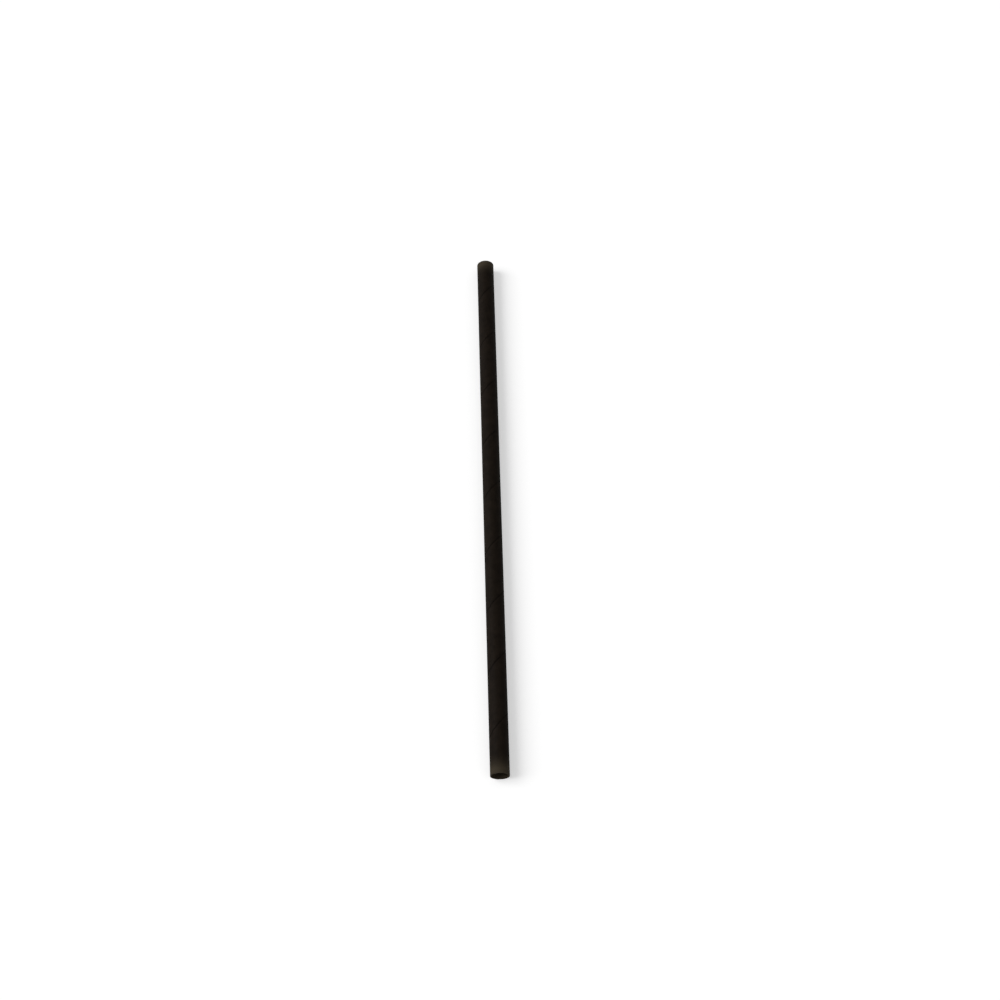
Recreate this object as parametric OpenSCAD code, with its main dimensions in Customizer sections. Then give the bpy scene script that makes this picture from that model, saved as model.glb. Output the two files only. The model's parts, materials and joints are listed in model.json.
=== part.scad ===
// Straight paper drinking straw, spiral wound from three plies and cut square at both ends.
// It lies on its side along Y on the plane Z = 0, with its middle over the origin.

/* [Tube] */
// Outside diameter
tube_d = 6; // [5:0.1:12]
// Length from cut end to cut end
tube_len = 197; // [100:1:260]
// Depth of the flat that the soft tube takes where it lies
flat_depth = 0.08; // [0.06:0.01:0.12]

/* [Paper] */
// Plies wound one over the other to make the wall
plies = 3; // [2:1:5]
// Thickness of one ply
ply_t = 0.13; // [0.08:0.01:0.2]
// Width of the strip that each ply is wound from
strip_w = 14; // [10:0.5:15]

/* [Seam] */
// Gap between the edges of the strip where neighbouring turns meet, at the wall's surface
seam_gap = 0.15; // [0.05:0.01:0.3]
// Width of the seam at its floor, as a share of the width at the surface, as the cut edges round over
seam_floor = 0.6; // [0.4:0.1:0.8]
// Steps that draw one turn of a seam
seam_steps = 36; // [24:4:60]

/* [Hidden] */

tube_colour = "#1b1713";
round_fn = 96;
// How far a cutting shape runs past the surface that it cuts
over_cut = 0.1;

outer_r = tube_d / 2;
bore_r = outer_r - plies * ply_t;
axis_z = outer_r - flat_depth;

// One turn of the strip covers the girth once, which sets its angle to the tube's axis
wind_angle = acos(strip_w / (PI * tube_d));
lead = strip_w / sin(wind_angle);

// Where around the tube each seam starts, on opposite sides of the wall
outer_seam_phase = 0;
inner_seam_phase = 180;

// Hollow cylinder of the full wall
module wall() {
    difference() {
        cylinder(h = tube_len, r = outer_r, center = true, $fn = round_fn);
        cylinder(h = tube_len + 2 * over_cut, r = bore_r, center = true, $fn = round_fn);
    }
}

// Helical slot, one ply deep, that runs out through both ends.
// side is 1 where it opens outward and -1 where it opens into the bore.
module seam(surface_r, side, phase) {
    slot_len = tube_len + 2 * over_cut;
    turns = slot_len / lead;
    surface_w = seam_gap / cos(wind_angle);
    floor_w = seam_floor * surface_w;
    mouth_w = surface_w + (surface_w - floor_w) * over_cut / ply_t;
    floor_r = surface_r - side * ply_t;
    mouth_r = surface_r + side * over_cut;
    rotate(phase)
        linear_extrude(height = slot_len, center = true, twist = -360 * turns, slices = ceil(turns * seam_steps))
            polygon([
                [floor_r, -floor_w / 2],
                [mouth_r, -mouth_w / 2],
                [mouth_r, mouth_w / 2],
                [floor_r, floor_w / 2]
            ]);
}

// Everything below the plane that the straw lies on
module under_floor() {
    translate([0, 0, -outer_r / 2])
        cube([tube_d, tube_len + 2 * over_cut, outer_r], center = true);
}

// The straw, laid down along Y
module straw() {
    color(tube_colour)
        difference() {
            translate([0, 0, axis_z])
                rotate([-90, 0, 0])
                    difference() {
                        wall();
                        seam(outer_r, 1, outer_seam_phase);
                        seam(bore_r, -1, inner_seam_phase);
                    }
            under_floor();
        }
}

straw();
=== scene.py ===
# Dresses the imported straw: its wound paper wall with both seams, black paper, a pale floor,
# soft studio light and the camera that looks down on it as the photograph does.

import json
import math

import bmesh
import bpy
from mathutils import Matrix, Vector


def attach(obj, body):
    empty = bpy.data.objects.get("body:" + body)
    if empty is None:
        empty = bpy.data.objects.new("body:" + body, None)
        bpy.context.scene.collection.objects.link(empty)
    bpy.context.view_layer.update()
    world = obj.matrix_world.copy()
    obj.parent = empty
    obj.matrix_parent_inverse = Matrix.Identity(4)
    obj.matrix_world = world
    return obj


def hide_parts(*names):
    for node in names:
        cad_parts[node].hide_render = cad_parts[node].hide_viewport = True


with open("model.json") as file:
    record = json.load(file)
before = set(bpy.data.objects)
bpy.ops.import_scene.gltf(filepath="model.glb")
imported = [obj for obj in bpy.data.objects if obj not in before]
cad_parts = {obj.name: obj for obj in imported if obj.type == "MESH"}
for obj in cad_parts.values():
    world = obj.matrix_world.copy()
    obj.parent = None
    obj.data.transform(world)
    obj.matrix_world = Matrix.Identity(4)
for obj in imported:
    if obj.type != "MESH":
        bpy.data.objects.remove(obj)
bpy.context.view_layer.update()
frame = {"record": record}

# The scene is in metres, and the straw's own sizes are written in millimetres
MM = 0.001

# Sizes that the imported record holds
mounts = {mount["name"]: mount for mount in frame["record"]["mounts"]}
OUTER_R = mounts["outer_wall"]["dims"]["r_mm"] * MM
BORE_R = mounts["bore"]["dims"]["r_mm"] * MM
LENGTH = mounts["outer_wall"]["dims"]["length_mm"] * MM
AXIS_Z = mounts["outer_wall"]["pos_m"][2]
HALF = LENGTH / 2

# Paper, as in the part's source
PLIES = 3
PLY = (OUTER_R - BORE_R) / PLIES
STRIP = 14 * MM
SEAM_GAP = 0.15 * MM
SEAM_FLOOR = 0.6
OVER_CUT = 0.1 * MM

# One turn of the strip covers the girth once, which sets its angle to the straw's axis
GIRTH = 2 * math.pi * OUTER_R
WIND = math.acos(STRIP / GIRTH)
LEAD = STRIP / math.sin(WIND)

# Steps around the wall, and the widest spacing of its rings where it is plain
AROUND = 128
PLAIN_STEP = 1.6 * MM
# How far the strip's edges are rounded over, and the shape of that in shares of it: how far beyond
# the seam's edge, and how deep
EDGE_ROUND = 0.02 * MM
EDGE_SHAPE = [(-0.5, 2.0), (1.0, 0.5), (4.0, 0.0)]
# Share of a turn at which the inner ply's seam and the hidden middle ply's seam lie
INNER_SEAM_AT = 0.5
MIDDLE_SEAM_AT = 0.25

# How deep a surface sinks over a seam below it, how far from the seam it is level again, and the
# shape of that hollow in shares of this reach and this depth
SINK_OVER_MIDDLE = 0.012 * MM
SINK_OVER_INNER = 0.006 * MM
SINK_REACH = 0.45 * MM
SINK_SHAPE = [(-1.0, 0.0), (-0.5, 0.45), (-0.2, 0.9), (0.2, 0.9), (0.5, 0.45), (1.0, 0.0)]

# Half the width and the depth of the fine line between two plies in a cut end, and how far short of
# the seam it stops, as a share of a turn
PLY_LINE_HALF = 0.018 * MM
PLY_LINE_DEPTH = 0.03 * MM
PLY_LINE_STOP = 0.012

# Corners nearer to a cut than this lie on it already, and edges nearer than this belong to its rim
CUT_NEAR = 1e-8
RIM_NEAR = 1e-7
# An edge that bends more than this is shaded as a sharp one
SHARP_BEND = math.radians(35)


def seam_profile():
    """(Distance along the axis from the seam's middle, depth below the surface) across half a seam."""
    half = SEAM_GAP / 2 / math.sin(WIND)
    bottom = [(half * SEAM_FLOOR, PLY)]
    return bottom + [(half + beyond * EDGE_ROUND, fall * EDGE_ROUND) for beyond, fall in EDGE_SHAPE]


def sink_profile(middle, depth):
    """Rings over a seam of a ply below, where the surface sinks a little."""
    return [(middle + share * SINK_REACH, fall * depth) for share, fall in SINK_SHAPE]


def turn_profile(sinks):
    """Rings of one whole turn, from the middle of one seam to just before the next."""
    rings = [(0.0, PLY)] + seam_profile()
    for middle, depth in sorted(sinks):
        rings += sink_profile(middle, depth)
    rings += [(LEAD - place, depth) for place, depth in reversed(seam_profile())]
    full = []
    for (place, depth), (after, _) in zip(rings, rings[1:] + [(LEAD, PLY)]):
        full.append((place, depth))
        steps = math.ceil((after - place) / PLAIN_STEP)
        full += [(place + (after - place) * k / steps, 0.0) for k in range(1, steps)]
    return full


def seam_start(phase):
    """Where along the axis a seam lies on the side of the straw that faces +X."""
    slot = LENGTH + 2 * OVER_CUT
    return -slot / 2 - LEAD * phase


def point(radius, turn, along):
    """A point of the wall. A turn of 0 faces +X, and a quarter turn faces down to the floor."""
    angle = 2 * math.pi * turn
    return Vector((radius * math.cos(angle), along, AXIS_Z - radius * math.sin(angle)))


def wind_surface(bm, radius, side, phase, sinks):
    """Adds one surface of the wall as rings that follow the seam. side is 1 outside and -1 in the bore."""
    profile = turn_profile(sinks)
    start = seam_start(phase)
    # A ring climbs one lead on its way around, so the rings begin more than a lead before one end of
    # the straw. The last turn of rings only closes the turn before it.
    first = math.floor((-HALF - start) / LEAD) - 2
    last = math.ceil((HALF - start) / LEAD) + 1
    rings = [(LEAD * k + place, depth) for k in range(first, last) for place, depth in profile]
    grid = []
    for place, depth in rings:
        row = []
        for j in range(AROUND):
            turn = j / AROUND
            at = point(radius - side * depth, turn, start + place + LEAD * turn)
            # The flat that the straw lies on
            if side > 0:
                at.z = max(at.z, 0.0)
            row.append(bm.verts.new(at))
        grid.append(row)
    # The last column joins the first one a whole turn further along
    per_turn = len(profile)
    for i in range(len(grid) - 1 - per_turn):
        for j in range(AROUND):
            wrapped = j == AROUND - 1
            ahead = i + per_turn if wrapped else i
            beside = 0 if wrapped else j + 1
            corners = [grid[i][j], grid[ahead][beside], grid[ahead + 1][beside], grid[i + 1][j]]
            bm.faces.new(corners if side > 0 else corners[::-1])


def ply_line(bm, radius, seam_phase, along, facing):
    """Adds the fine groove in a cut end where two plies meet, and returns the edges of its two lips.
    It stops on both sides of the seam, which cuts through one of the two plies there."""
    seam_turn = (along - seam_start(seam_phase)) / LEAD
    first = seam_turn + PLY_LINE_STOP
    span = 1 - 2 * PLY_LINE_STOP
    turns = [first + span * k / AROUND for k in range(AROUND + 1)]
    ends = [bm.verts.new(point(radius, turn, along)) for turn in (turns[0], turns[-1])]
    rows = []
    for aside, depth in ((-PLY_LINE_HALF, 0.0), (0.0, PLY_LINE_DEPTH), (PLY_LINE_HALF, 0.0)):
        between = [bm.verts.new(point(radius + aside, turn, along - facing * depth)) for turn in turns[1:-1]]
        rows.append([ends[0]] + between + [ends[1]])
    for inner, outer in zip(rows, rows[1:]):
        for k in range(AROUND):
            corners = [inner[k], inner[k + 1], outer[k + 1], outer[k]]
            # The rows share their first and last points, so the faces there have three corners
            bm.faces.new(list(dict.fromkeys(corners)))
    return [bm.edges.get((row[k], row[k + 1])) for row in (rows[0], rows[2]) for k in range(AROUND)]


def cut_square(bm, along, facing):
    """Cuts everything off beyond one end and closes the wall with a flat ring that shows the plies."""
    everything = bm.verts[:] + bm.edges[:] + bm.faces[:]
    bmesh.ops.bisect_plane(
        bm,
        geom=everything,
        dist=CUT_NEAR,
        plane_co=(0.0, along, 0.0),
        plane_no=(0.0, facing, 0.0),
        clear_outer=True,
    )
    rim = [
        edge
        for edge in bm.edges
        if edge.is_boundary and all(abs(vert.co.y - along) < RIM_NEAR for vert in edge.verts)
    ]
    for radius, seam_phase in ((OUTER_R - PLY, 0.0), (BORE_R + PLY, INNER_SEAM_AT)):
        rim += ply_line(bm, radius, seam_phase, along, facing)
    bmesh.ops.triangle_fill(bm, edges=rim, use_beauty=True, normal=(0.0, facing, 0.0))


def make_straw():
    """The whole straw as one mesh: outer surface, bore and both cut ends."""
    bm = bmesh.new()
    outer_sinks = [(LEAD * MIDDLE_SEAM_AT, SINK_OVER_MIDDLE), (LEAD * INNER_SEAM_AT, SINK_OVER_INNER)]
    bore_sinks = [(LEAD * ((MIDDLE_SEAM_AT - INNER_SEAM_AT) % 1), SINK_OVER_MIDDLE)]
    wind_surface(bm, OUTER_R, 1, 0.0, outer_sinks)
    wind_surface(bm, BORE_R, -1, INNER_SEAM_AT, bore_sinks)
    for facing in (1, -1):
        cut_square(bm, facing * HALF, facing)
    bmesh.ops.recalc_face_normals(bm, faces=bm.faces[:])
    mesh = bpy.data.meshes.new("straw_paper")
    bm.to_mesh(mesh)
    bm.free()
    for polygon in mesh.polygons:
        polygon.use_smooth = True
    mesh.set_sharp_from_angle(angle=SHARP_BEND)
    straw = bpy.data.objects.new("straw_paper", mesh)
    bpy.context.collection.objects.link(straw)
    return straw


class Nodes:
    """Short calls that add shader nodes to one material and link them."""

    def __init__(self, name):
        self.material = bpy.data.materials.new(name)
        self.material.use_nodes = True
        self.tree = self.material.node_tree
        self.shader = self.tree.nodes["Principled BSDF"]

    def put(self, socket, value):
        """Links a socket's source, or sets a plain value."""
        if isinstance(value, bpy.types.NodeSocket):
            self.tree.links.new(value, socket)
        else:
            socket.default_value = value

    def node(self, kind, **inputs):
        """Adds a node and gives it its inputs by name."""
        made = self.tree.nodes.new(kind)
        for name, value in inputs.items():
            self.put(made.inputs[name], value)
        return made

    def operate(self, kind, operation, given):
        """Adds a node that works something out from inputs given in order."""
        made = self.tree.nodes.new(kind)
        made.operation = operation
        for socket, value in zip(made.inputs, given):
            self.put(socket, value)
        return made.outputs[0]

    def maths(self, operation, *given):
        return self.operate("ShaderNodeMath", operation, given)

    def vectors(self, operation, *given):
        return self.operate("ShaderNodeVectorMath", operation, given)

    def ramp(self, value, low, high, at_low, at_high):
        """Takes value from the range low to high to the range at_low to at_high, held at both ends."""
        made = self.tree.nodes.new("ShaderNodeMapRange")
        for socket, given in zip(made.inputs, (value, low, high, at_low, at_high)):
            self.put(socket, given)
        return made.outputs[0]

    def stretch(self, vector, along, across, turn):
        """Turns a plane pattern and scales it on each of its two axes. A small scale gives long marks."""
        turned = self.node("ShaderNodeMapping", Vector=vector, Rotation=(0.0, 0.0, turn)).outputs[0]
        return self.node("ShaderNodeMapping", Vector=turned, Scale=(along, across, 1.0)).outputs[0]

    def noise(self, vector, scale, detail, rough):
        made = self.node("ShaderNodeTexNoise", Vector=vector, Scale=scale, Detail=detail, Roughness=rough)
        return made.outputs["Fac"]


# The paper's colour is linear, and a tone is a factor on it
PAPER = (0.0086, 0.0059, 0.0039)
PAPER_SHINE = 0.045

# Scale per millimetre of strip, detail and roughness of the cloudy dye, the grain and the fibres
CLOUDS = (0.45, 3.0, 0.55)
GRAIN = (16.0, 2.0, 0.5)
FIBRES = (7.0, 3.0, 0.6)
# The fibres' scale along and across the strip, and their turn away from it in radians
FIBRES_LIE = (0.3, 2.0, 0.0)

# A low and a high level of each of those, and what it gives at the two
CLOUDS_TO_TONE = (0.3, 0.7, 0.72, 1.28)
FIBRES_TO_TONE = (0.25, 0.75, 0.7, 1.3)
FIBRES_TO_PALE_END = (0.3, 0.7, 0.6, 1.4)
FIBRES_TO_ROUGHNESS = (0.2, 0.8, 0.5, 0.68)
GRAIN_TO_CUT_TONE = (0.35, 0.65, 0.0, 0.9)

# Sparse single fibres that took less dye, in two directions: how they lie, their noise, and the
# levels of it at which one begins to show and shows in full
FLECKS = [
    ((0.35, 5.0, 0.3), (2.6, 1.0, 0.5), (0.66, 0.74)),
    ((0.4, 5.0, -0.8), (2.2, 1.0, 0.5), (0.68, 0.76)),
]
FLECKS_TONE = 0.8

# Glue beside the outer seam, in full and at its end, in millimetres from the seam's middle
SEAM_GLUE_REACH = (0.15, 0.35)
SEAM_GLUE_TONE = -0.4
# Glue between the plies in a cut end, in full and at its end, in shares of a ply's thickness
PLY_GLUE_REACH = (0.04, 0.16)
PLY_GLUE_TONE = -0.8
# How far from a cut a surface still counts as the cut end
CUT_REACH = 0.01 * MM

# Painted light, brighter paper at each cut end like the light on the lit tops: what the paper gains
# there, how far from the cut that holds, where it has run out, and the power by which it runs out
PAINTED_END_LIGHT = (0.0290, 0.0240, 0.0156)
PALE_END_FULL = 1.5 * MM
PALE_END_REACH = 6.5 * MM
PALE_END_POWER = 2.0

# Relief of the grain, the flecks and the glue between plies, against 1 for the fibres, then the
# strength and the depth of all of it
GRAIN_RELIEF = 0.35
FLECKS_RELIEF = 0.3
PLY_GLUE_RELIEF = -0.6
RELIEF_STRENGTH = 0.8
RELIEF_DEPTH = 0.015 * MM


def unwind(made):
    """Gives a point's place on the flat strip and its distance from the outer seam, both in
    millimetres, its distance from the nearer cut end, and its place in the wall counted in plies."""
    place = made.node("ShaderNodeTexCoord").outputs["Object"]
    x, y, z = made.node("ShaderNodeSeparateXYZ", Vector=place).outputs
    drop = made.maths("SUBTRACT", AXIS_Z, z)
    turn = made.maths("DIVIDE", made.maths("ARCTAN2", drop, x), 2 * math.pi)
    squares = made.maths("ADD", made.maths("POWER", x, 2.0), made.maths("POWER", drop, 2.0))
    radius = made.maths("SQRT", squares)

    # Whole turns and the share of a turn since the last outer seam
    along = made.maths("SUBTRACT", y, seam_start(0.0))
    wound = made.maths("SUBTRACT", made.maths("DIVIDE", along, LEAD), turn)
    whole = made.maths("FLOOR", wound)
    share = made.maths("FRACT", wound)

    # Along the strip, across it and into the wall
    run = made.maths("MULTIPLY", made.maths("ADD", turn, whole), GIRTH / MM)
    along_strip = made.maths(
        "ADD",
        made.maths("MULTIPLY", run, math.sin(WIND)),
        made.maths("MULTIPLY", y, math.cos(WIND) / MM),
    )
    across_strip = made.maths("MULTIPLY", share, STRIP / MM)
    depth = made.maths("MULTIPLY", radius, 1 / MM)
    strip = made.node("ShaderNodeCombineXYZ", X=along_strip, Y=across_strip, Z=depth).outputs[0]

    from_seam = made.maths("MULTIPLY", made.maths("PINGPONG", share, 0.5), LEAD / MM)
    from_end = made.maths("SUBTRACT", HALF, made.maths("ABSOLUTE", y))
    plies_in = made.maths("DIVIDE", made.maths("SUBTRACT", radius, BORE_R), PLY)
    return strip, from_seam, from_end, plies_in


def paper_material():
    """Black dyed paper in the strip's own directions, with fibres, cloudy dye, glue and painted light on its
    ends.
    """
    made = Nodes("black_paper")
    strip, from_seam, from_end, plies_in = unwind(made)

    # Mottled formation of the sheet, its fine grain and the fibres that lie mostly along the strip
    clouds = made.noise(strip, *CLOUDS)
    grain = made.noise(strip, *GRAIN)
    fibres = made.noise(made.stretch(strip, *FIBRES_LIE), *FIBRES)
    one_way, other_way = [
        made.ramp(made.noise(made.stretch(strip, *lie), *noise), *levels, 0.0, 1.0)
        for lie, noise, levels in FLECKS
    ]
    flecks = made.maths("MAXIMUM", one_way, other_way)

    # Glue darkens the strip's edges along the seam, and draws a line between the plies in a cut end
    seam_glue = made.ramp(from_seam, *SEAM_GLUE_REACH, 1.0, 0.0)
    ply_glue = made.ramp(made.maths("PINGPONG", plies_in, 0.5), *PLY_GLUE_REACH, 1.0, 0.0)
    cut_face = made.ramp(from_end, 0.0, CUT_REACH, 1.0, 0.0)
    cut_tone = made.maths("MULTIPLY_ADD", ply_glue, PLY_GLUE_TONE, made.ramp(grain, *GRAIN_TO_CUT_TONE))

    # Painted light: the last few millimetres before each cut are paler, as the lit tops in the photograph
    # show
    near_end = made.ramp(from_end, PALE_END_FULL, PALE_END_REACH, 1.0, 0.0)
    fading = made.maths("POWER", near_end, PALE_END_POWER)
    painted_end_light = made.maths("MULTIPLY", fading, made.ramp(fibres, *FIBRES_TO_PALE_END))

    tone = made.ramp(clouds, *CLOUDS_TO_TONE)
    tone = made.maths("MULTIPLY", tone, made.ramp(fibres, *FIBRES_TO_TONE))
    tone = made.maths("MULTIPLY_ADD", flecks, FLECKS_TONE, tone)
    tone = made.maths("MULTIPLY_ADD", seam_glue, SEAM_GLUE_TONE, tone)
    tone = made.maths("MULTIPLY_ADD", cut_face, cut_tone, tone)
    # The painted light at both ends is added to the paper's colour here
    gain = made.vectors("MULTIPLY", PAINTED_END_LIGHT, painted_end_light)
    made.put(made.shader.inputs["Base Color"], made.vectors("MULTIPLY_ADD", PAPER, tone, gain))

    made.put(made.shader.inputs["Roughness"], made.ramp(fibres, *FIBRES_TO_ROUGHNESS))
    made.shader.inputs["Specular IOR Level"].default_value = PAPER_SHINE

    glue_line = made.maths("MULTIPLY", ply_glue, cut_face)
    height = made.maths("MULTIPLY_ADD", grain, GRAIN_RELIEF, fibres)
    height = made.maths("MULTIPLY_ADD", flecks, FLECKS_RELIEF, height)
    height = made.maths("MULTIPLY_ADD", glue_line, PLY_GLUE_RELIEF, height)
    bump = made.node("ShaderNodeBump", Strength=RELIEF_STRENGTH, Distance=RELIEF_DEPTH, Height=height)
    made.put(made.shader.inputs["Normal"], bump.outputs[0])
    return made.material


# A plain pale floor far wider than the view, which the lamps light and the straw shades
FLOOR_SIZE = 6.0
FLOOR_COLOUR = (0.70, 0.70, 0.70, 1.0)
FLOOR_ROUGHNESS = 0.9
FLOOR_SHINE = 0.1
FLOOR_LIFT = 0.42
WHITE = (1.0, 1.0, 1.0, 1.0)


def make_floor():
    """The floor keeps the shadow. To the camera a little light of its own takes it to white."""
    bpy.ops.mesh.primitive_plane_add(size=FLOOR_SIZE)
    floor = bpy.context.object
    floor.name = "floor"
    made = Nodes("floor_white")
    made.shader.inputs["Base Color"].default_value = FLOOR_COLOUR
    made.shader.inputs["Roughness"].default_value = FLOOR_ROUGHNESS
    made.shader.inputs["Specular IOR Level"].default_value = FLOOR_SHINE
    made.shader.inputs["Emission Color"].default_value = WHITE
    seen = made.node("ShaderNodeLightPath").outputs["Is Camera Ray"]
    made.put(made.shader.inputs["Emission Strength"], made.maths("MULTIPLY", seen, FLOOR_LIFT))
    floor.data.materials.append(made.material)


# Strength of the light from all round, against 1 for the white that the camera sees
WORLD_LIGHT = 0.36


def make_world():
    """Even low light from all round, and plain white to the camera."""
    world = bpy.data.worlds.new("studio")
    world.use_nodes = True
    tree = world.node_tree
    tree.nodes.clear()
    path = tree.nodes.new("ShaderNodeLightPath")
    strength = tree.nodes.new("ShaderNodeMapRange")
    strength.inputs["To Min"].default_value = WORLD_LIGHT
    strength.inputs["To Max"].default_value = 1.0
    tree.links.new(path.outputs["Is Camera Ray"], strength.inputs["Value"])
    light = tree.nodes.new("ShaderNodeBackground")
    light.inputs["Color"].default_value = WHITE
    tree.links.new(strength.outputs[0], light.inputs["Strength"])
    out = tree.nodes.new("ShaderNodeOutputWorld")
    tree.links.new(light.outputs[0], out.inputs["Surface"])
    bpy.context.scene.world = world


# Name, direction that it shines from, width as seen from the straw in degrees, and strength of each lamp
LAMPS = [
    ("key", (-0.90, 0.05, 0.75), 45.0, 2.3),
    ("fill", (0.55, -0.70, 0.75), 60.0, 0.25),
]


def make_lamps():
    """Wide lamps so far off that they light the whole floor evenly."""
    for name, place, width, strength in LAMPS:
        data = bpy.data.lights.new(name, "SUN")
        data.angle = math.radians(width)
        data.energy = strength
        lamp = bpy.data.objects.new(name, data)
        lamp.location = place
        lamp.rotation_mode = "QUATERNION"
        lamp.rotation_quaternion = (-Vector(place)).to_track_quat("-Z", "Y")
        bpy.context.collection.objects.link(lamp)


# The camera stands beyond the near end and looks down, so that the far end is uppermost and smaller
CAMERA_AT = Vector((-0.00403, -0.24423, 0.41117))
CAMERA_AIM = Vector((0.00270, -0.00067, 0.0))
CAMERA_LENS = 51.12
SENSOR_WIDTH = 36.0
NEAREST_SEEN = 10 * MM


def make_camera():
    """The camera that sees the straw as the photograph does."""
    data = bpy.data.cameras.new("camera")
    data.lens = CAMERA_LENS
    data.sensor_width = SENSOR_WIDTH
    data.clip_start = NEAREST_SEEN
    camera = bpy.data.objects.new("camera", data)
    camera.location = CAMERA_AT
    camera.rotation_mode = "QUATERNION"
    camera.rotation_quaternion = (CAMERA_AIM - CAMERA_AT).to_track_quat("-Z", "Y")
    bpy.context.collection.objects.link(camera)
    bpy.context.scene.camera = camera


make_camera()
make_world()
make_lamps()
make_floor()

straw = make_straw()
straw.data.materials.append(paper_material())
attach(straw, "root")
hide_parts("straw")

bpy.context.scene.view_settings.view_transform = "Standard"
